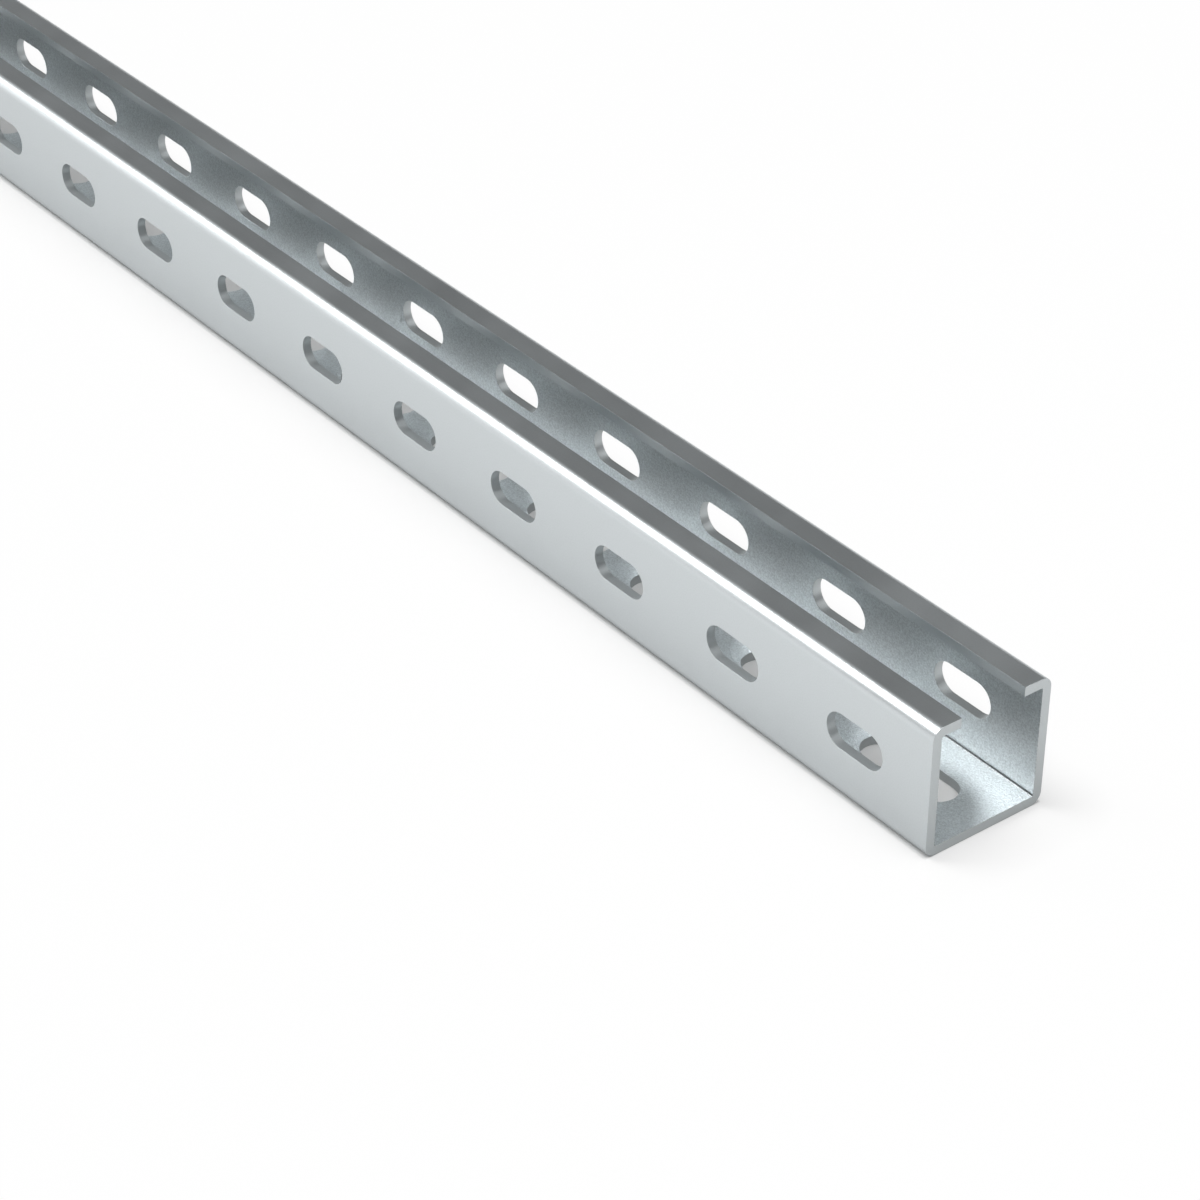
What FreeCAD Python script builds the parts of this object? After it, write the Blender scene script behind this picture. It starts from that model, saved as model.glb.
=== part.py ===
import FreeCAD, Part
import os
import sys
import Sketcher
from FreeCAD import Vector

# Perforated mounting rail: one length of steel strip, punched with three rows of slots and
# then roll-formed into a square channel with two plain lips turned in at the top.
# +X runs along the rail, +Y across it and +Z up. The origin is under the rail, halfway along.
# The slots are set out from the sawn end at +X.

# Driving sizes in millimetres
SIZES = {
    "rail_length": 1000.0,
    "rail_width": 41.0,
    "rail_height": 41.0,
    "wall": 3.0,
    "bend_inside": 0.6,
    "mouth_width": 22.0,
    "slot_pitch": 50.0,
    "first_slot": 29.0,
    "least_end_web": 3.0,
    "side_slot_length": 22.0,
    "side_slot_width": 11.0,
    "side_slot_height": 21.0,
    "base_slot_length": 34.0,
    "base_slot_width": 12.0,
}

# How a sketch numbers the points of a curve, from 1, and its own axes, down from -1
START, END, CENTRE = range(1, 4)
X_AXIS, Y_AXIS = range(-1, -3, -1)
ORIGIN = (X_AXIS, START)

doc = FreeCAD.newDocument("mounting_rail")


def make_sheet():
    """The spreadsheet that holds each driving size under its own name."""
    sheet = doc.addObject("Spreadsheet::Sheet", "sizes")
    for row, (name, value) in enumerate(SIZES.items(), start=1):
        sheet.set(f"A{row}", name)
        sheet.set(f"B{row}", str(value))
        sheet.setAlias(f"B{row}", name)
    doc.recompute()
    return sheet


def origin_feature(body, role):
    """One of the body's own origin planes or axes, found by its role."""
    return next(item for item in body.Origin.OriginFeatures if item.Role == role)


def sketch_on(body, role, name):
    """An empty sketch on one of the body's origin planes."""
    sketch = body.newObject("Sketcher::SketchObject", name)
    sketch.AttachmentSupport = [(origin_feature(body, role), "")]
    sketch.MapMode = "FlatFace"
    return sketch


def constrain(sketch, kind, *places):
    """Adds one geometric constraint to a sketch."""
    sketch.addConstraint(Sketcher.Constraint(kind, *places))


def bind(sketch, kind, places, value, expression):
    """Adds one dimension to a sketch and ties it to the sheet."""
    index = sketch.addConstraint(Sketcher.Constraint(kind, *places, value))
    sketch.setExpression(f"Constraints[{index}]", expression)


def draw_loop(sketch, corners):
    """Draws a closed loop through corners (y, z, radius, left turn), with arcs at the round ones.

    It returns two lists: the index of the line that leaves each corner, and of the corner's arc,
    which is None at a sharp corner.
    """
    count = len(corners)
    points = [Vector(y, z, 0) for y, z, radius, left_turn in corners]
    radii = [radius for y, z, radius, left_turn in corners]
    arrive, leave = [], []
    for i in range(count):
        back = (points[i - 1] - points[i]).normalize()
        ahead = (points[(i + 1) % count] - points[i]).normalize()
        arrive.append(points[i] + back * radii[i])
        leave.append(points[i] + ahead * radii[i])
    lines = [
        sketch.addGeometry(Part.LineSegment(leave[i], arrive[(i + 1) % count]), False)
        for i in range(count)
    ]
    arcs = []
    for i in range(count):
        if not radii[i]:
            arcs.append(None)
            continue
        centre = arrive[i] + leave[i] - points[i]
        middle = centre + (points[i] - centre).normalize() * radii[i]
        arcs.append(sketch.addGeometry(Part.Arc(arrive[i], middle, leave[i]), False))
    join_loop(sketch, corners, lines, arcs)
    return lines, arcs


def join_loop(sketch, corners, lines, arcs):
    """Joins the loop's lines to each other, or tangentially to the arcs between them."""
    for i, arc in enumerate(arcs):
        before, after = lines[i - 1], lines[i]
        if arc is None:
            constrain(sketch, "Coincident", before, END, after, START)
            continue
        left_turn = corners[i][3]
        arc_in, arc_out = (START, END) if left_turn else (END, START)
        constrain(sketch, "Tangent", before, END, arc, arc_in)
        constrain(sketch, "Tangent", arc, arc_out, after, START)


def section_sketch(body, sheet):
    """The rail's section, seen from +X: Y to the right and Z up."""
    half_width = sheet.rail_width / 2
    half_mouth = sheet.mouth_width / 2
    top = sheet.rail_height
    wall = sheet.wall
    inside = sheet.bend_inside
    outside = inside + wall
    corners = [
        (-half_mouth, top, 0, True),
        (-half_width, top, outside, True),
        (-half_width, 0, outside, True),
        (half_width, 0, outside, True),
        (half_width, top, outside, True),
        (half_mouth, top, 0, True),
        (half_mouth, top - wall, 0, True),
        (half_width - wall, top - wall, inside, False),
        (half_width - wall, wall, inside, False),
        (-half_width + wall, wall, inside, False),
        (-half_width + wall, top - wall, inside, False),
        (-half_mouth, top - wall, 0, True),
    ]
    sketch = sketch_on(body, "YZ_Plane", "section")
    lines, arcs = draw_loop(sketch, corners)
    lip_left, wall_left, base, wall_right, lip_right, edge_right = lines[:6]
    under_right, inner_right, inner_base, inner_left, under_left, edge_left = lines[6:]
    outer_arcs, inner_arcs = arcs[1:5], arcs[7:11]
    for line in (lip_left, base, lip_right, under_right, inner_base, under_left):
        constrain(sketch, "Horizontal", line)
    for line in (wall_left, wall_right, edge_right, inner_right, inner_left, edge_left):
        constrain(sketch, "Vertical", line)
    for first, *others in (outer_arcs, inner_arcs):
        for arc in others:
            constrain(sketch, "Equal", first, arc)
    constrain(sketch, "Symmetric", base, START, base, END, *ORIGIN)
    constrain(sketch, "Symmetric", lip_left, START, lip_right, END, Y_AXIS)

    width, height, mouth = sheet.rail_width, sheet.rail_height, sheet.mouth_width
    for kind, places, value, expression in (
        ("Radius", (outer_arcs[0],), outside, "sizes.bend_inside + sizes.wall"),
        ("Radius", (inner_arcs[0],), inside, "sizes.bend_inside"),
        ("DistanceX", (wall_left, END, wall_right, START), width, "sizes.rail_width"),
        ("DistanceY", (base, END, lip_right, START), height, "sizes.rail_height"),
        ("DistanceX", (lip_left, START, lip_right, END), mouth, "sizes.mouth_width"),
        ("DistanceY", (edge_right, END, edge_right, START), wall, "sizes.wall"),
        ("DistanceY", (edge_left, START, edge_left, END), wall, "sizes.wall"),
        ("DistanceX", (inner_right, START, wall_right, START), wall, "sizes.wall"),
        ("DistanceX", (wall_left, START, inner_left, START), wall, "sizes.wall"),
        ("DistanceY", (base, START, inner_base, START), wall, "sizes.wall"),
    ):
        bind(sketch, kind, places, value, expression)
    return sketch


def slot_sketch(body, role, name, size, centre, names):
    """A round-ended slot, long along the rail.

    size is (length, width) and centre is (along, across). names are their expressions, and the
    last is None where the slot lies on the sketch's own axis.
    """
    length, width = size
    along, across = centre
    radius = width / 2
    reach = length / 2 - radius
    sketch = sketch_on(body, role, name)
    low_left = Vector(along - reach, across - radius, 0)
    low_right = Vector(along + reach, across - radius, 0)
    high_right = Vector(along + reach, across + radius, 0)
    high_left = Vector(along - reach, across + radius, 0)
    right_tip = Vector(along + length / 2, across, 0)
    left_tip = Vector(along - length / 2, across, 0)
    low = sketch.addGeometry(Part.LineSegment(low_left, low_right), False)
    right = sketch.addGeometry(Part.Arc(low_right, right_tip, high_right), False)
    high = sketch.addGeometry(Part.LineSegment(high_right, high_left), False)
    left = sketch.addGeometry(Part.Arc(high_left, left_tip, low_left), False)

    for first, second in ((low, right), (right, high), (high, left), (left, low)):
        constrain(sketch, "Tangent", first, END, second, START)
    constrain(sketch, "Horizontal", low)
    constrain(sketch, "Equal", left, right)
    length_name, width_name, along_name, across_name = names
    straight_name = f"{length_name} - {width_name}"
    right_centre_name = f"{along_name} + ({straight_name}) / 2"
    bind(sketch, "Radius", (right,), radius, f"{width_name} / 2")
    bind(sketch, "DistanceX", (left, CENTRE, right, CENTRE), 2 * reach, straight_name)
    right_centre = (*ORIGIN, right, CENTRE)
    bind(sketch, "DistanceX", right_centre, along + reach, right_centre_name)
    if across_name:
        bind(sketch, "DistanceY", right_centre, across, across_name)
    else:
        constrain(sketch, "PointOnObject", right, CENTRE, X_AXIS)
    return sketch


def repeat_along_rail(body, feature, name):
    """Repeats a slot towards -X at the slot pitch, for as many slots as the rail holds whole."""
    pattern = body.newObject("PartDesign::LinearPattern", name)
    pattern.Originals = [feature]
    pattern.Direction = (origin_feature(body, "X_Axis"), [""])
    pattern.Reversed = True
    pattern.Mode = "Spacing"
    pattern.setExpression("Offset", "sizes.slot_pitch")
    pattern.setExpression(
        "Occurrences",
        "floor((sizes.rail_length - sizes.first_slot - sizes.base_slot_length / 2"
        " - sizes.least_end_web) / sizes.slot_pitch) + 1",
    )
    body.Tip = pattern
    doc.recompute()


def build_channel(body, sheet):
    """The section drawn out to the rail's length, half of it each way from the origin."""
    channel = body.newObject("PartDesign::Pad", "channel")
    channel.Profile = section_sketch(body, sheet)
    channel.SideType = "Symmetric"
    channel.setExpression("Length", "sizes.rail_length")
    doc.recompute()


def cut_side_slots(body, sheet, first_along, first_along_name):
    """The slots in both sides, each pair cut in one stroke across the whole width."""
    sketch = slot_sketch(
        body,
        "XZ_Plane",
        "side_slot",
        (sheet.side_slot_length, sheet.side_slot_width),
        (first_along, sheet.side_slot_height),
        (
            "sizes.side_slot_length",
            "sizes.side_slot_width",
            first_along_name,
            "sizes.side_slot_height",
        ),
    )
    cut = body.newObject("PartDesign::Pocket", "side_slot_cut")
    cut.Profile = sketch
    cut.SideType = "Symmetric"
    cut.Type = "Length"
    cut.setExpression("Length", "sizes.rail_width")
    doc.recompute()
    repeat_along_rail(body, cut, "side_slots")


def cut_base_slots(body, sheet, first_along, first_along_name):
    """The longer slots along the middle of the base, upwards from its underside."""
    sketch = slot_sketch(
        body,
        "XY_Plane",
        "base_slot",
        (sheet.base_slot_length, sheet.base_slot_width),
        (first_along, 0),
        ("sizes.base_slot_length", "sizes.base_slot_width", first_along_name, None),
    )
    cut = body.newObject("PartDesign::Pocket", "base_slot_cut")
    cut.Profile = sketch
    cut.Type = "Length"
    cut.Reversed = True
    cut.setExpression("Length", "sizes.wall")
    doc.recompute()
    repeat_along_rail(body, cut, "base_slots")


def build_rail(sheet):
    """The whole rail: the channel, then its three rows of slots."""
    body = doc.addObject("PartDesign::Body", "mounting_rail")
    body.Label = "mounting_rail"
    build_channel(body, sheet)
    first_along = sheet.rail_length / 2 - sheet.first_slot
    first_along_name = "sizes.rail_length / 2 - sizes.first_slot"
    cut_side_slots(body, sheet, first_along, first_along_name)
    cut_base_slots(body, sheet, first_along, first_along_name)
    return body


def check(body):
    """Stops if any feature failed, or if the finished rail isn't one sound solid."""
    for item in doc.Objects:
        if "Invalid" in item.State or "Error" in item.State:
            sys.exit(f"{item.Name} failed: {item.State}")
    shape = body.Shape
    if shape.isNull() or not shape.isValid() or len(shape.Solids) != 1:
        sys.exit("the rail isn't one valid solid")


sizes = make_sheet()
rail = build_rail(sizes)
check(rail)
os.makedirs("parts", exist_ok=True)
rail.Shape.exportStep(f"parts/{rail.Label}.step")
print(f"{rail.Label}: {rail.Shape.Volume / 1000:.1f} cm3, {len(rail.Shape.Faces)} faces")
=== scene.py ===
import math

import bmesh
import bpy
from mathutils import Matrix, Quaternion, Vector


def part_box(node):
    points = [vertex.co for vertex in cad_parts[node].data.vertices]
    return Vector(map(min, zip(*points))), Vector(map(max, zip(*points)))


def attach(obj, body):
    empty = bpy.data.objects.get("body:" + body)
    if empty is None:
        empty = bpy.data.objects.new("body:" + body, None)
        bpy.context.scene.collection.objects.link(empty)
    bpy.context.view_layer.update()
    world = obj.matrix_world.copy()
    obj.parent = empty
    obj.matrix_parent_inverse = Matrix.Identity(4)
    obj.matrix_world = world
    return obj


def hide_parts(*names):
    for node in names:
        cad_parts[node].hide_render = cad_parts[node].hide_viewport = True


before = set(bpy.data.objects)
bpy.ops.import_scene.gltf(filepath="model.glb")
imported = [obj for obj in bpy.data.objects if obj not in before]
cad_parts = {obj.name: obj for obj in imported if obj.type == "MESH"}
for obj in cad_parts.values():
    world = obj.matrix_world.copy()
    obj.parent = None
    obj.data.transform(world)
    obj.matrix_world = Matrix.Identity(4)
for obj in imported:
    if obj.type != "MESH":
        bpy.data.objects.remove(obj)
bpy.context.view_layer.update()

MM = 0.001

# The rail's overall size comes from the frame, and the sizes of its strip and slots from its source
RAIL_LOW, RAIL_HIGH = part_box("mounting_rail")
RAIL_LENGTH, RAIL_WIDTH, RAIL_HEIGHT = RAIL_HIGH - RAIL_LOW
WALL = 3 * MM
BEND_INSIDE = 0.6 * MM
MOUTH_WIDTH = 22 * MM
SLOT_PITCH = 50 * MM
FIRST_SLOT = 29 * MM
SLOT_COUNT = 1 + int((RAIL_LENGTH - FIRST_SLOT) / SLOT_PITCH)
SIDE_SLOT_LENGTH = 22 * MM
SIDE_SLOT_WIDTH = 11 * MM
SIDE_SLOT_HEIGHT = 21 * MM
BASE_SLOT_LENGTH = 34 * MM
BASE_SLOT_WIDTH = 12 * MM

# Rounding that punching, shearing and sawing leave on the edges
PUNCHED_EDGE = 0.07 * MM
SHEARED_EDGE = 0.01 * MM
SAWN_EDGE = 0.12 * MM

# The strip lies flat before it is folded. In a bend, the layer that keeps its length lies this
# share of the wall away from the inside. The folds start at these distances from the strip's middle.
UNSTRETCHED_LAYER = 0.4
BEND_OUTSIDE = BEND_INSIDE + WALL
BEND_ALLOWANCE = (BEND_INSIDE + UNSTRETCHED_LAYER * WALL) * math.pi / 2
LOWER_FOLD = RAIL_WIDTH / 2 - BEND_OUTSIDE
WALL_START = LOWER_FOLD + BEND_ALLOWANCE
UPPER_FOLD = WALL_START + RAIL_HEIGHT - 2 * BEND_OUTSIDE
LIP_START = UPPER_FOLD + BEND_ALLOWANCE
STRIP_EDGE = LIP_START + RAIL_WIDTH / 2 - BEND_OUTSIDE - MOUTH_WIDTH / 2
SLOT_LINE = WALL_START + SIDE_SLOT_HEIGHT - BEND_OUTSIDE

# How finely the strip is divided, and how near to each other points count as one
BEND_STEPS = 12
LIP_STEPS = 2
EDGE_STEPS = 3
SLOT_ARC_STEPS = 16
SLOT_SIDE_STEPS = 4
PANEL_ROWS = SLOT_ARC_STEPS // 2
PANEL_COLUMNS = SLOT_ARC_STEPS // 2 + SLOT_SIDE_STEPS
MERGE_DISTANCE = 0.001 * MM
SEAM_TOLERANCE = 0.01 * MM

# The attribute that marks punched, sheared and sawn faces
CUT_FACE = "cut_face"

# The textures of the steel, by their features per metre and their detail
GRAIN = {"fineness": 2200, "detail": 1.5}
CLOUDS = {"fineness": 40, "detail": 3}
TOOL_LINES = {"fineness": 900, "detail": 2}

# The two finishes. Depths are of relief, in metres. The inner values are what the faces inside
# the channel have besides. Clouding and the two painted shades, inside the channel and in its
# creases, are shares of the brightness.
ZINC_COAT = {
    "Colour": (0.68, 0.72, 0.735, 1),
    "Roughness": 0.37,
    "Line stretch": (0.02, 1, 1),
    "Line depth": 0.003 * MM,
    "Grain depth": 0.015 * MM,
    "Clouding": 0.04,
    # Painted shade that darkens all the faces inside the channel
    "Inner shade": 0.045,
    "Inner gloss": 0.02,
    "Inner grain": 0.055 * MM,
    # Painted shade in the creases inside the lower bends
    "Crease shade": 0.85,
}
CUT_STEEL = {
    "Colour": (0.60, 0.635, 0.645, 1),
    "Roughness": 0.5,
    "Line stretch": (1, 0.05, 1),
    "Line depth": 0.004 * MM,
    "Grain depth": 0.01 * MM,
    "Clouding": 0.08,
    "Inner shade": 0,
    "Inner gloss": 0,
    "Inner grain": 0,
    "Crease shade": 0,
}

# What both finishes share: how far the clouds swing the roughness, how strongly the grain
# speckles the brightness, and how much more strongly it does so inside the channel
ROUGHNESS_SWING = 0.16
SPECKLE = 0.1
INNER_SPECKLE = 0.65

# The painted shade in the creases inside the lower bends lies this far in from the rail's
# outside, and fades out over its reach. The slack keeps the edge of the inner finish off the
# inner faces themselves.
CREASE_SHADE_PLACE = WALL + 0.4 * BEND_INSIDE
CREASE_SHADE_REACH = 0.55 * MM
INNER_SLACK = 0.3 * MM

# The floor lies a hair below the rail. It glows as the camera sees it, and as the metal mirrors it.
# Each glow rises from its near value, beside the rail, to its far value, at its reach. In the
# metal, the dimmer glow near the rail is a painted shadow.
FLOOR_SIZE = 12
FLOOR_DROP = 0.05 * MM
FLOOR_COLOUR = (0.88, 0.88, 0.875, 1)
SEEN_GLOW = {"near": 0.4, "far": 0.97, "reach": 0.02}
# In the metal, the near value paints a shadow beside the rail
MIRRORED_GLOW_AND_PAINTED_SHADOW = {"near": 0.42, "far": 1, "reach": 0.055}

# The glow's share of the mirrored floor, and how strong that glow still is under the rail, as a painted
# shadow
MIRRORED_SHARE = 0.6
PAINTED_SHADOW_STRENGTH = 0.6

# The backdrop is all that the camera sees beyond the floor. In the metal it ends at its top, which
# is the sine of its height above the horizon, and the studio's dim walls show above it.
BACKDROP_COLOUR = (0.98, 0.98, 0.98, 1)
BACKDROP_TOP = 0.12
WALLS_COLOUR = (0.16, 0.16, 0.16, 1)

# The lamps. A direction is an azimuth and an elevation in degrees, as seen from where they aim.
SOFTBOX_AIM = Vector((0.3, 0, 0))
SOFTBOXES = {
    "left_softbox": {"direction": (214, 48), "distance": 7, "size": (3.2, 4.0), "brightness": 7.8},
    "low_softbox": {"direction": (216, 18), "distance": 7, "size": (3.2, 3.6), "brightness": 1.2},
    "overhead_softbox": {"direction": (10, 65), "distance": 1, "size": (0.8, 0.8), "brightness": 2.5},
}

# Where the photograph was taken from
CAMERA_PLACE = Vector((0.9739, -0.4915, 0.5267))
CAMERA_AIM = Vector((0.4148, -0.0608, 0.0516))
CAMERA_ROLL = math.radians(-0.18)
CAMERA_LENS = 98.25
CAMERA_RANGE = (0.01, 100)
SENSOR_WIDTH = 36

# The kinds of socket that the node groups have
NUMBER = "NodeSocketFloat"
WHOLE_NUMBER = "NodeSocketInt"
COLOUR = "NodeSocketColor"
VECTOR = "NodeSocketVector"
OBJECT = "NodeSocketObject"
MATERIAL = "NodeSocketMaterial"
GEOMETRY = "NodeSocketGeometry"


def even_steps(start, end, count):
    """count + 1 evenly spaced values from start to end."""
    return [start + (end - start) * i / count for i in range(count + 1)]


def rounded_corner(size):
    """Points (inset, depth) of a quarter circle that rounds off an edge, from the face to the wall."""
    turns = even_steps(0, math.pi / 2, EDGE_STEPS)
    return [(size * (1 - math.sin(t)), size * (1 - math.cos(t))) for t in turns]


def add_quads(mesh, before, after, closed, cut_layer=None):
    """Quads between two rows of vertices, marked as cut faces where a layer is given."""
    count = len(before)
    for i in range(count if closed else count - 1):
        j = (i + 1) % count
        face = mesh.faces.new((after[i], after[j], before[j], before[i]))
        if cut_layer:
            face[cut_layer] = True


def panel_columns():
    """Places along one pitch of strip: the slots' reach in even steps, and the web out to each side."""
    reach = BASE_SLOT_LENGTH / 2
    inner = even_steps(-reach, reach, PANEL_COLUMNS - 2)
    return [-SLOT_PITCH / 2, *inner, SLOT_PITCH / 2]


def panel_outline(low, high):
    """Points (along, across) round a panel, anticlockwise from below the slot's right-hand centre."""
    columns = panel_columns()
    rows = even_steps(low, high, PANEL_ROWS)
    first = PANEL_COLUMNS - PANEL_ROWS // 2
    bottom = [(x, low) for x in columns[:-1]]
    right = [(columns[-1], y) for y in rows[:-1]]
    top = [(x, high) for x in reversed(columns[1:])]
    left = [(columns[0], y) for y in reversed(rows[1:])]
    return bottom[first:] + right + top + left + bottom[:first]


def slot_outline(length, width, middle, outset):
    """Points (along, across) round a slot, anticlockwise, as many as a panel's outline has."""
    straight = (length - width) / 2
    radius = width / 2 + outset
    turns = even_steps(-math.pi / 2, math.pi / 2, SLOT_ARC_STEPS)
    arc = [(straight + radius * math.cos(t), middle + radius * math.sin(t)) for t in turns]
    side = [(x, middle + radius) for x in even_steps(straight, -straight, SLOT_SIDE_STEPS)[1:-1]]
    half = arc + side
    return half + [(-x, 2 * middle - y) for x, y in half]


def add_slotted_panel(mesh, cut_layer, low, high, middle, length, width):
    """A flat panel of strip with a slot: its outer face, the slot's rounded wall, its inner face."""
    rings = [(panel_outline(low, high), 0, False)]
    corner = rounded_corner(PUNCHED_EDGE)
    for outset, depth in corner:
        rings.append((slot_outline(length, width, middle, outset), depth, depth > 0))
    for outset, depth in reversed(corner):
        rings.append((slot_outline(length, width, middle, outset), WALL - depth, True))
    rings.append((panel_outline(low, high), WALL, False))
    before = None
    for outline, depth, is_cut in rings:
        after = [mesh.verts.new((x, y, depth)) for x, y in outline]
        if before:
            add_quads(mesh, before, after, True, cut_layer if is_cut else None)
        before = after


def sheared_edge():
    """Points (across, depth) round the strip's edge at +Y, from its inner face to its outer face."""
    corner = [(STRIP_EDGE - inset, depth) for inset, depth in rounded_corner(SHEARED_EDGE)]
    return [(y, WALL - depth) for y, depth in corner] + corner[::-1]


def plain_spans():
    """Places across the outer face where no slot is: the spans at +Y, then those at -Y."""
    lip = even_steps(STRIP_EDGE - SHEARED_EDGE, LIP_START, LIP_STEPS)
    upper_bend = even_steps(LIP_START, UPPER_FOLD, BEND_STEPS)
    lower_bend = even_steps(WALL_START, LOWER_FOLD, BEND_STEPS)
    spans = [lip + upper_bend[1:], lower_bend]
    return spans, [[-y for y in reversed(span)] for span in reversed(spans)]


def add_rows(mesh, columns, stations):
    """Quads over the columns along the strip and the stations (across, depth) round it."""
    before = None
    for y, depth in stations:
        after = [mesh.verts.new((x, y, depth)) for x in reversed(columns)]
        if before:
            add_quads(mesh, before, after, False)
        before = after


def finish_stencil(mesh, name):
    """Merges the seams between patches into an object that only the node tree shows."""
    bmesh.ops.remove_doubles(mesh, verts=mesh.verts, dist=MERGE_DISTANCE)
    data = bpy.data.meshes.new(name)
    mesh.to_mesh(data)
    mesh.free()
    return bpy.data.objects.new(name, data)


def punched_pitch():
    """One pitch of the flat strip, with a slot in its base and in each side."""
    mesh = bmesh.new()
    cut_layer = mesh.faces.layers.bool.new(CUT_FACE)
    side = (SIDE_SLOT_LENGTH, SIDE_SLOT_WIDTH)
    base = (BASE_SLOT_LENGTH, BASE_SLOT_WIDTH)
    add_slotted_panel(mesh, cut_layer, -UPPER_FOLD, -WALL_START, -SLOT_LINE, *side)
    add_slotted_panel(mesh, cut_layer, -LOWER_FOLD, LOWER_FOLD, 0, *base)
    add_slotted_panel(mesh, cut_layer, WALL_START, UPPER_FOLD, SLOT_LINE, *side)
    columns = panel_columns()
    right, left = plain_spans()
    for span in right + left:
        add_rows(mesh, columns, [(y, 0) for y in span])
        add_rows(mesh, columns, [(y, WALL) for y in reversed(span)])
    edge = sheared_edge()
    add_rows(mesh, columns, edge)
    add_rows(mesh, columns, [(-y, depth) for y, depth in reversed(edge)])
    return finish_stencil(mesh, "punched_pitch")


def outer_stations():
    """Places across the outer face at a sawn end, from +Y to -Y, as the panels and spans have them."""
    right, left = plain_spans()
    wall = even_steps(UPPER_FOLD, WALL_START, PANEL_ROWS)
    base = even_steps(LOWER_FOLD, -LOWER_FOLD, PANEL_ROWS)
    other_wall = [-y for y in reversed(wall)]
    places = right[0][:1]
    for span in (right[0], wall, right[1], base, left[0], other_wall, left[1]):
        places += span[1:]
    return places


def sawn_end():
    """The last sliver of the flat strip, its faces rounded into the sawn section at X = 0."""
    mesh = bmesh.new()
    cut_layer = mesh.faces.layers.bool.new(CUT_FACE)
    across = outer_stations()
    edge = sheared_edge()[1:-1]
    other_edge = [(-y, depth) for y, depth in reversed(edge)]
    outer = [(y, 0) for y in across]
    inner = [(y, WALL) for y in reversed(across)]
    before = None
    for back, inset in rounded_corner(SAWN_EDGE):
        widest = STRIP_EDGE - inset
        after = []
        for y, depth in outer + other_edge + inner + edge:
            y = max(-widest, min(widest, y))
            depth = max(inset, min(WALL - inset, depth))
            after.append(mesh.verts.new((-back, y, depth)))
        if before:
            add_quads(mesh, before, after, True, cut_layer)
        before = after
    count = len(outer)
    inner_start = count + len(other_edge)
    outside = before[:count]
    inside = before[inner_start : inner_start + count][::-1]
    add_quads(mesh, outside, inside, False, cut_layer)
    rims = (before[count - 1 : inner_start + 1], before[inner_start + count - 1 :] + before[:1])
    for rim in rims:
        mesh.faces.new(rim[::-1])[cut_layer] = True
    return finish_stencil(mesh, "sawn_end")


def connect(tree, socket, value):
    """Links a socket into an input, or sets the input to a plain value."""
    if isinstance(value, bpy.types.NodeSocket):
        tree.links.new(value, socket)
    else:
        socket.default_value = value


def add_node(tree, kind, inputs=None, **settings):
    """A node with its settings, and its inputs given as plain values or as sockets."""
    node = tree.nodes.new(kind)
    for setting, value in settings.items():
        setattr(node, setting, value)
    for label, value in (inputs or {}).items():
        connect(tree, node.inputs[label], value)
    return node


def calculate(tree, operation, *values, clamp=False):
    """The result of a Math node on one or two values."""
    inputs = dict(enumerate(values))
    node = add_node(tree, "ShaderNodeMath", inputs, operation=operation, use_clamp=clamp)
    return node.outputs["Value"]


def vector_of(tree, x, y=0.0, z=0.0):
    """A vector made of three values."""
    return add_node(tree, "ShaderNodeCombineXYZ", {"X": x, "Y": y, "Z": z}).outputs["Vector"]


def parts_of(tree, vector):
    """The X, Y and Z of a vector."""
    return add_node(tree, "ShaderNodeSeparateXYZ", {"Vector": vector}).outputs


def hypotenuse(tree, side, other_side):
    """The distance over two sides at a right angle."""
    squares = [calculate(tree, "POWER", length, 2) for length in (side, other_side)]
    return calculate(tree, "SQRT", calculate(tree, "ADD", *squares))


def new_group(name, kind, inputs, outputs):
    """A node group with named sockets: the group, what it is given, and its results."""
    tree = bpy.data.node_groups.new(name, kind)
    for in_out, sockets in (("INPUT", inputs), ("OUTPUT", outputs)):
        for label, socket_type in sockets.items():
            tree.interface.new_socket(label, in_out=in_out, socket_type=socket_type)
    given = tree.nodes.new("NodeGroupInput").outputs
    result = tree.nodes.new("NodeGroupOutput").inputs
    return tree, given, result


def fold_group():
    """Folds what lies past a line up by a right angle, round a bend of the given outside radius.

    Height is the distance above the strip's outer face, which stays on the outside of the bend.
    """
    labels = ("Across", "Height", "Fold line", "Outside radius", "Allowance")
    inputs = dict.fromkeys(labels, NUMBER)
    outputs = {"Across": NUMBER, "Height": NUMBER}
    tree, given, result = new_group("fold_strip", "GeometryNodeTree", inputs, outputs)
    line, outside, allowance = given["Fold line"], given["Outside radius"], given["Allowance"]
    past = calculate(tree, "SUBTRACT", given["Across"], line)
    share = calculate(tree, "DIVIDE", past, allowance, clamp=True)
    angle = calculate(tree, "MULTIPLY", share, math.pi / 2)
    beyond = calculate(tree, "MAXIMUM", calculate(tree, "SUBTRACT", past, allowance), 0)
    radius = calculate(tree, "SUBTRACT", outside, given["Height"])
    swing = calculate(tree, "MULTIPLY", radius, calculate(tree, "SINE", angle))
    drop = calculate(tree, "MULTIPLY", radius, calculate(tree, "COSINE", angle))
    flat = calculate(tree, "MINIMUM", given["Across"], line)
    raised = calculate(tree, "ADD", outside, beyond)
    connect(tree, result["Across"], calculate(tree, "ADD", flat, swing))
    connect(tree, result["Height"], calculate(tree, "SUBTRACT", raised, drop))
    return tree


def point_places(tree):
    """The X, Y and Z of each point."""
    return parts_of(tree, add_node(tree, "GeometryNodeInputPosition").outputs["Position"])


def move_points(tree, geometry, x, y, z):
    """Sets each point's place from three fields."""
    inputs = {"Geometry": geometry, "Position": vector_of(tree, x, y, z)}
    return add_node(tree, "GeometryNodeSetPosition", inputs).outputs["Geometry"]


def shown_object(tree, source):
    """The geometry of an object that is given to the tree."""
    return add_node(tree, "GeometryNodeObjectInfo", {"Object": source}).outputs["Geometry"]


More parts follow.
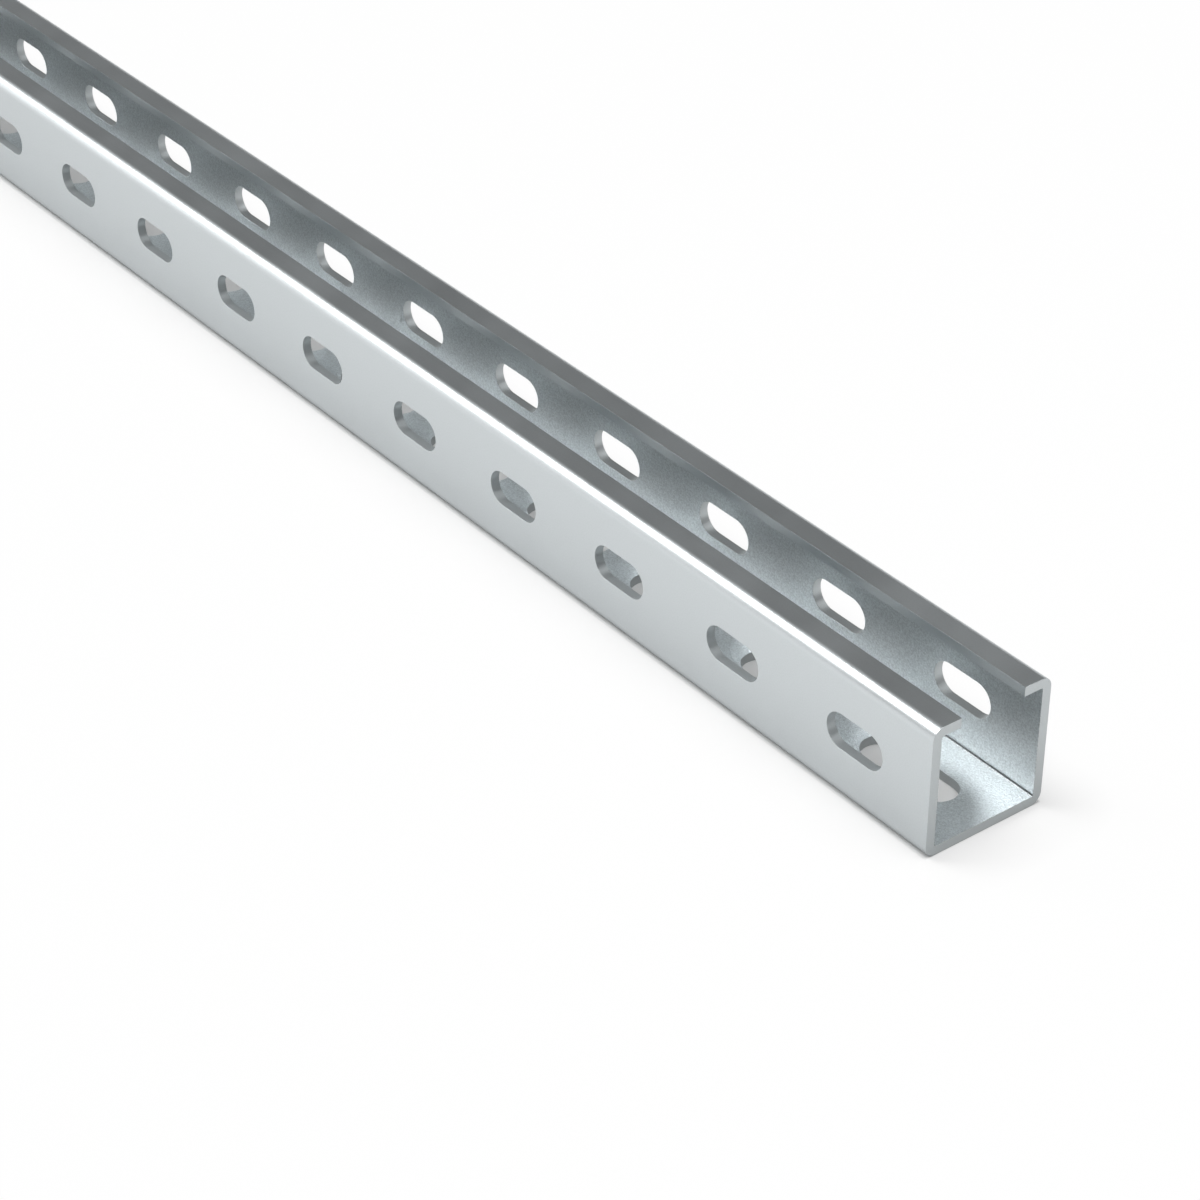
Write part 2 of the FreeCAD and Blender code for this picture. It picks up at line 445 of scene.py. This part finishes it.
def place(tree, geometry, x, turn=0.0):
    """Moves geometry along the rail, after a turn about the vertical."""
    inputs = {"Geometry": geometry, "Translation": vector_of(tree, x), "Rotation": (0, 0, turn)}
    return add_node(tree, "GeometryNodeTransform", inputs).outputs["Geometry"]


def row_of_pitches(tree, given, first_place):
    """Copies of the punched pitch, from the first slots back along the rail, as one mesh."""
    places = {
        "Count": given["Slot count"],
        "Start Location": vector_of(tree, first_place),
        "Offset": vector_of(tree, calculate(tree, "MULTIPLY", given["Slot pitch"], -1)),
    }
    line = add_node(tree, "GeometryNodeMeshLine", places, mode="OFFSET")
    pitch = shown_object(tree, given["Punched pitch"])
    inputs = {"Points": line.outputs["Mesh"], "Instance": pitch}
    copies = add_node(tree, "GeometryNodeInstanceOnPoints", inputs)
    row = add_node(tree, "GeometryNodeRealizeInstances", {"Geometry": copies.outputs["Instances"]})
    return row.outputs["Geometry"]


def seam_moved(tree, x, seam, end_place):
    """x, or the end's place where x is at the seam."""
    inputs = {"A": x, "B": seam, "Epsilon": SEAM_TOLERANCE}
    at_seam = add_node(tree, "FunctionNodeCompare", inputs, data_type="FLOAT", operation="EQUAL")
    inputs = {"Switch": at_seam.outputs["Result"], "False": x, "True": end_place}
    return add_node(tree, "GeometryNodeSwitch", inputs, input_type="FLOAT").outputs["Output"]


def fitted_row(tree, given, half_length):
    """The row of pitches, with its outermost columns drawn out, or in, to meet the sawn ends."""
    pitch = given["Slot pitch"]
    first_place = calculate(tree, "SUBTRACT", half_length, given["First slot"])
    row = row_of_pitches(tree, given, first_place)
    end_place = calculate(tree, "SUBTRACT", half_length, given["Sawn edge"])
    seam = calculate(tree, "ADD", first_place, calculate(tree, "DIVIDE", pitch, 2))
    row_length = calculate(tree, "MULTIPLY", pitch, given["Slot count"])
    far_seam = calculate(tree, "SUBTRACT", seam, row_length)
    x, y, z = point_places(tree)
    x = seam_moved(tree, x, seam, end_place)
    x = seam_moved(tree, x, far_seam, calculate(tree, "MULTIPLY", end_place, -1))
    return move_points(tree, row, x, y, z)


def folded(tree, given, strip):
    """The flat strip folded up on both sides, first its lips and then its walls."""
    x, y, height = point_places(tree)
    across = calculate(tree, "ABSOLUTE", y)
    fold = fold_group()
    for fold_line in ("Upper fold", "Lower fold"):
        inputs = {
            "Across": across,
            "Height": height,
            "Fold line": given[fold_line],
            "Outside radius": given["Outside radius"],
            "Allowance": given["Allowance"],
        }
        node = add_node(tree, "GeometryNodeGroup", inputs, node_tree=fold)
        across, height = node.outputs["Across"], node.outputs["Height"]
    across = calculate(tree, "MULTIPLY", across, calculate(tree, "SIGN", y))
    return move_points(tree, strip, x, across, height)


def finished(tree, given, geometry):
    """The realized mesh in its two materials: coated, with its cut faces in cut steel."""
    mesh = add_node(tree, "GeometryNodeRealizeInstances", {"Geometry": geometry})
    inputs = {"Geometry": mesh.outputs["Geometry"], "Material": given["Coated face"]}
    coated = add_node(tree, "GeometryNodeSetMaterial", inputs)
    inputs = {"Name": CUT_FACE}
    is_cut = add_node(tree, "GeometryNodeInputNamedAttribute", inputs, data_type="BOOLEAN")
    inputs = {
        "Geometry": coated.outputs["Geometry"],
        "Selection": is_cut.outputs["Attribute"],
        "Material": given["Cut face"],
    }
    return add_node(tree, "GeometryNodeSetMaterial", inputs).outputs["Geometry"]


def rail_tree():
    """The rule of the rail: pitches in a row, a sawn end at each end, and two folds on each side."""
    sizes = ("Rail length", "Slot pitch", "First slot", "Sawn edge")
    sizes += ("Upper fold", "Lower fold", "Outside radius", "Allowance")
    inputs = {
        "Punched pitch": OBJECT,
        "Sawn end": OBJECT,
        "Slot count": WHOLE_NUMBER,
        **dict.fromkeys(sizes, NUMBER),
        "Coated face": MATERIAL,
        "Cut face": MATERIAL,
    }
    tree, given, result = new_group("folded_rail", "GeometryNodeTree", inputs, {"Geometry": GEOMETRY})
    half_length = calculate(tree, "DIVIDE", given["Rail length"], 2)
    row = fitted_row(tree, given, half_length)
    end = shown_object(tree, given["Sawn end"])
    other_end = place(tree, end, calculate(tree, "MULTIPLY", half_length, -1), math.pi)
    joined = tree.nodes.new("GeometryNodeJoinGeometry")
    for piece in (other_end, place(tree, end, half_length), row):
        tree.links.new(piece, joined.inputs["Geometry"])
    inputs = {"Geometry": joined.outputs["Geometry"], "Distance": MERGE_DISTANCE}
    strip = add_node(tree, "GeometryNodeMergeByDistance", inputs).outputs["Geometry"]
    channel = folded(tree, given, strip)
    connect(tree, result["Geometry"], finished(tree, given, channel))
    return tree


def set_inputs(modifier, values):
    """Sets a modifier's inputs by the names of its tree's sockets."""
    for item in modifier.node_group.interface.items_tree:
        if item.in_out == "INPUT" and item.name in values:
            modifier[item.identifier] = values[item.name]


def make_rail(coated_face, cut_face):
    """The rail as one plain mesh, with normals that keep its flat faces flat."""
    holder = bpy.data.objects.new("rail_rule", bpy.data.meshes.new("rail_rule"))
    bpy.context.scene.collection.objects.link(holder)
    modifier = holder.modifiers.new("folded_rail", "NODES")
    modifier.node_group = rail_tree()
    values = {
        "Punched pitch": punched_pitch(),
        "Sawn end": sawn_end(),
        "Rail length": RAIL_LENGTH,
        "Slot pitch": SLOT_PITCH,
        "Slot count": SLOT_COUNT,
        "First slot": FIRST_SLOT,
        "Sawn edge": SAWN_EDGE,
        "Upper fold": UPPER_FOLD,
        "Lower fold": LOWER_FOLD,
        "Outside radius": BEND_OUTSIDE,
        "Allowance": BEND_ALLOWANCE,
        "Coated face": coated_face,
        "Cut face": cut_face,
    }
    set_inputs(modifier, values)
    bpy.context.view_layer.update()
    graph = bpy.context.evaluated_depsgraph_get()
    data = bpy.data.meshes.new_from_object(holder.evaluated_get(graph), depsgraph=graph)
    bpy.data.objects.remove(holder)
    data.name = "rail"

    # The stencils bring an empty material slot with them
    while None in data.materials[:]:
        data.materials.pop(index=data.materials[:].index(None))
    data.shade_smooth()
    rail = bpy.data.objects.new("rail", data)
    bpy.context.scene.collection.objects.link(rail)

    # At full weight the large faces set the normals along their edges, so that they stay flat
    evening = rail.modifiers.new("flat_faces", "WEIGHTED_NORMAL")
    evening.weight = 100
    evening.keep_sharp = True
    return rail


def noise_at(tree, places, fineness, detail):
    """A noise texture's value, from 0 to 1, at the given places."""
    inputs = {"Vector": places, "Scale": fineness, "Detail": detail}
    return add_node(tree, "ShaderNodeTexNoise", inputs).outputs["Fac"]


def varied(tree, base, texture, amount):
    """base plus a texture's swing about its middle, times an amount."""
    swing = calculate(tree, "SUBTRACT", texture, 0.5)
    return calculate(tree, "ADD", base, calculate(tree, "MULTIPLY", swing, amount))


def crease_shade_mask(tree, across, height):
    """1 in the two creases inside the lower bends, where the painted shade lies, and 0 elsewhere."""
    aside = calculate(tree, "SUBTRACT", across, RAIL_WIDTH / 2 - CREASE_SHADE_PLACE)
    above = calculate(tree, "SUBTRACT", height, CREASE_SHADE_PLACE)
    faded = calculate(tree, "DIVIDE", hypotenuse(tree, aside, above), CREASE_SHADE_REACH)
    return calculate(tree, "SUBTRACT", 1, faded, clamp=True)


def inner_mask(tree, across, height):
    """1 inside the channel, on faces the rolls haven't burnished and that carry painted shade; 0
    outside.
    """
    between = calculate(tree, "LESS_THAN", across, RAIL_WIDTH / 2 - WALL + INNER_SLACK)
    above = calculate(tree, "GREATER_THAN", height, WALL - INNER_SLACK)
    below = calculate(tree, "LESS_THAN", height, RAIL_HEIGHT - WALL + INNER_SLACK)
    return calculate(tree, "MULTIPLY", calculate(tree, "MULTIPLY", between, above), below)


def metal_surface_group():
    """Zinc-coated steel: fine crystal grain, faint clouding, long tool lines, painted shade inside."""
    amounts = ("Line depth", "Grain depth", "Clouding")
    amounts += ("Inner shade", "Inner gloss", "Inner grain", "Crease shade")
    inputs = {
        "Colour": COLOUR,
        "Roughness": NUMBER,
        "Line stretch": VECTOR,
        **dict.fromkeys(amounts, NUMBER),
    }
    outputs = {"Colour": COLOUR, "Roughness": NUMBER, "Normal": VECTOR}
    tree, given, result = new_group("metal_surface", "ShaderNodeTree", inputs, outputs)
    coordinates = add_node(tree, "ShaderNodeTexCoord").outputs["Object"]
    parts = parts_of(tree, coordinates)
    across = calculate(tree, "ABSOLUTE", parts["Y"])
    inside = inner_mask(tree, across, parts["Z"])
    # Where the painted shade in the creases lies
    crease_shade = crease_shade_mask(tree, across, parts["Z"])
    grain = noise_at(tree, coordinates, **GRAIN)
    clouds = noise_at(tree, coordinates, **CLOUDS)
    inputs = {0: coordinates, 1: given["Line stretch"]}
    stretched = add_node(tree, "ShaderNodeVectorMath", inputs, operation="MULTIPLY")
    lines = noise_at(tree, stretched.outputs["Vector"], **TOOL_LINES)

    speckle = calculate(tree, "ADD", calculate(tree, "MULTIPLY", inside, INNER_SPECKLE), SPECKLE)
    brightness = varied(tree, 1, clouds, given["Clouding"])
    brightness = varied(tree, brightness, grain, speckle)
    # Painted shade: the faces inside the channel and the creases of its lower bends are darkened
    for mask, amount in ((inside, given["Inner shade"]), (crease_shade, given["Crease shade"])):
        shade_painted = calculate(tree, "MULTIPLY", mask, amount)
        brightness = calculate(tree, "SUBTRACT", brightness, shade_painted)
    inputs = {0: given["Colour"], "Scale": brightness}
    tone = add_node(tree, "ShaderNodeVectorMath", inputs, operation="SCALE")
    connect(tree, result["Colour"], tone.outputs["Vector"])

    smoother = calculate(tree, "MULTIPLY", inside, given["Inner gloss"])
    roughness = calculate(tree, "SUBTRACT", given["Roughness"], smoother)
    connect(tree, result["Roughness"], varied(tree, roughness, clouds, ROUGHNESS_SWING))

    inner_depth = calculate(tree, "MULTIPLY", inside, given["Inner grain"])
    depth = calculate(tree, "ADD", given["Grain depth"], inner_depth)
    grain_relief = calculate(tree, "MULTIPLY", grain, depth)
    line_relief = calculate(tree, "MULTIPLY", lines, given["Line depth"])
    relief = calculate(tree, "ADD", grain_relief, line_relief)
    metre = 1
    bump = add_node(tree, "ShaderNodeBump", {"Distance": metre, "Height": relief})
    connect(tree, result["Normal"], bump.outputs["Normal"])
    return tree


def make_metal(name, surface, values):
    """A metal whose colour, roughness and normal come from the surface group."""
    material = bpy.data.materials.new(name)
    material.use_nodes = True
    tree = material.node_tree
    finish = add_node(tree, "ShaderNodeGroup", values, node_tree=surface).outputs
    shader = tree.nodes["Principled BSDF"]
    connect(tree, shader.inputs["Metallic"], 1)
    connect(tree, shader.inputs["Base Color"], finish["Colour"])
    connect(tree, shader.inputs["Roughness"], finish["Roughness"])
    connect(tree, shader.inputs["Normal"], finish["Normal"])
    return material


def distance_from_rail(tree):
    """How far a point of the floor lies from the ground under the rail."""
    parts = parts_of(tree, add_node(tree, "ShaderNodeTexCoord").outputs["Object"])
    beyond = []
    for part, half in ((parts["X"], RAIL_LENGTH / 2), (parts["Y"], RAIL_WIDTH / 2)):
        past = calculate(tree, "SUBTRACT", calculate(tree, "ABSOLUTE", part), half)
        beyond.append(calculate(tree, "MAXIMUM", past, 0))
    return hypotenuse(tree, *beyond)


def rising(tree, distance, near, far, reach):
    """A value that rises from near, at the rail, to far at the given reach, quickly at first."""
    share = calculate(tree, "SQRT", calculate(tree, "DIVIDE", distance, reach, clamp=True))
    return calculate(tree, "ADD", calculate(tree, "MULTIPLY", share, far - near), near)


def floor_material():
    """White paper that shows the rail's shadow, and partly glows as the camera and the metal see it.

    To the camera, the share of glow rises with the distance from the rail, and none is left under
    it. In the metal, the share stays the same and the glow itself rises, so that a painted shadow
    lies near the rail and under it.
    """
    material = bpy.data.materials.new("floor")
    material.use_nodes = True
    tree = material.node_tree
    tree.nodes.clear()
    rays = add_node(tree, "ShaderNodeLightPath").outputs
    distance = distance_from_rail(tree)
    beside = calculate(tree, "GREATER_THAN", distance, 0)

    seen = calculate(tree, "MAXIMUM", rays["Is Camera Ray"], rays["Is Transmission Ray"])
    seen = calculate(tree, "MULTIPLY", seen, rising(tree, distance, **SEEN_GLOW))
    seen = calculate(tree, "MULTIPLY", seen, beside)
    mirrored = calculate(tree, "MULTIPLY", rays["Is Glossy Ray"], MIRRORED_SHARE)
    share = calculate(tree, "ADD", seen, mirrored)

    # Painted shadow: the metal mirrors the floor's glow dimmer near the rail and under it
    painted_shadow_factor = calculate(tree, "MAXIMUM", beside, PAINTED_SHADOW_STRENGTH)
    image = calculate(tree, "MULTIPLY", rising(tree, distance, **MIRRORED_GLOW_AND_PAINTED_SHADOW), painted_shadow_factor)
    missing = calculate(tree, "SUBTRACT", 1, image)
    dimness = calculate(tree, "MULTIPLY", rays["Is Glossy Ray"], missing)
    strength = calculate(tree, "SUBTRACT", 1, dimness)

    matt = add_node(tree, "ShaderNodeBsdfDiffuse", {"Color": FLOOR_COLOUR}).outputs["BSDF"]
    glow = add_node(tree, "ShaderNodeEmission", {"Strength": strength}).outputs["Emission"]
    mix = add_node(tree, "ShaderNodeMixShader", {"Fac": share, 1: matt, 2: glow})
    add_node(tree, "ShaderNodeOutputMaterial", {"Surface": mix.outputs["Shader"]})
    return material


def make_floor():
    """A plain white floor, just below the rail."""
    bpy.ops.mesh.primitive_plane_add(size=FLOOR_SIZE, location=(0, 0, -FLOOR_DROP))
    floor = bpy.context.object
    floor.name = "floor"
    floor.data.materials.append(floor_material())


def add_softbox(name, direction, distance, size, brightness):
    """An area lamp that faces the rail and looks equally bright at any size."""
    azimuth, elevation = (math.radians(angle) for angle in direction)
    level = distance * math.cos(elevation)
    height = distance * math.sin(elevation)
    offset = Vector((level * math.cos(azimuth), level * math.sin(azimuth), height))
    lamp = bpy.data.lights.new(name, "AREA")
    lamp.shape = "RECTANGLE"
    lamp.size, lamp.size_y = size
    lamp.energy = brightness * math.pi * lamp.size * lamp.size_y
    holder = bpy.data.objects.new(name, lamp)
    holder.location = SOFTBOX_AIM + offset
    holder.rotation_euler = (-offset).to_track_quat("-Z", "Y").to_euler()
    bpy.context.scene.collection.objects.link(holder)


def light_room():
    """A dim grey studio with a white backdrop, two softboxes at the view's left and one overhead."""
    world = bpy.data.worlds.new("studio")
    bpy.context.scene.world = world
    world.use_nodes = True
    tree = world.node_tree
    rays = add_node(tree, "ShaderNodeLightPath").outputs
    direction = add_node(tree, "ShaderNodeTexCoord").outputs["Generated"]
    low = calculate(tree, "LESS_THAN", parts_of(tree, direction)["Z"], BACKDROP_TOP)
    mirrored = calculate(tree, "MULTIPLY", rays["Is Glossy Ray"], low)
    seen = calculate(tree, "MAXIMUM", rays["Is Camera Ray"], rays["Is Transmission Ray"])
    share = calculate(tree, "MAXIMUM", seen, mirrored)

    walls = tree.nodes["Background"]
    connect(tree, walls.inputs["Color"], WALLS_COLOUR)
    backdrop = add_node(tree, "ShaderNodeBackground", {"Color": BACKDROP_COLOUR})
    inputs = {"Fac": share, 1: walls.outputs["Background"], 2: backdrop.outputs["Background"]}
    mix = add_node(tree, "ShaderNodeMixShader", inputs)
    connect(tree, tree.nodes["World Output"].inputs["Surface"], mix.outputs["Shader"])
    for name, settings in SOFTBOXES.items():
        add_softbox(name, **settings)


def add_camera():
    """The photograph's view."""
    lens = bpy.data.cameras.new("camera")
    lens.sensor_width = SENSOR_WIDTH
    lens.lens = CAMERA_LENS
    lens.clip_start, lens.clip_end = CAMERA_RANGE
    camera = bpy.data.objects.new("camera", lens)
    camera.location = CAMERA_PLACE
    sight = CAMERA_AIM - CAMERA_PLACE
    upright = sight.to_track_quat("-Z", "Y")
    camera.rotation_mode = "QUATERNION"
    camera.rotation_quaternion = Quaternion(sight.normalized(), CAMERA_ROLL) @ upright
    bpy.context.scene.collection.objects.link(camera)
    bpy.context.scene.camera = camera


surface = metal_surface_group()
coated = make_metal("zinc_coat", surface, ZINC_COAT)
cut = make_metal("cut_steel", surface, CUT_STEEL)
rail = make_rail(coated, cut)
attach(rail, "root")
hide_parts("mounting_rail")
make_floor()
light_room()
add_camera()
bpy.context.scene.view_settings.view_transform = "Standard"
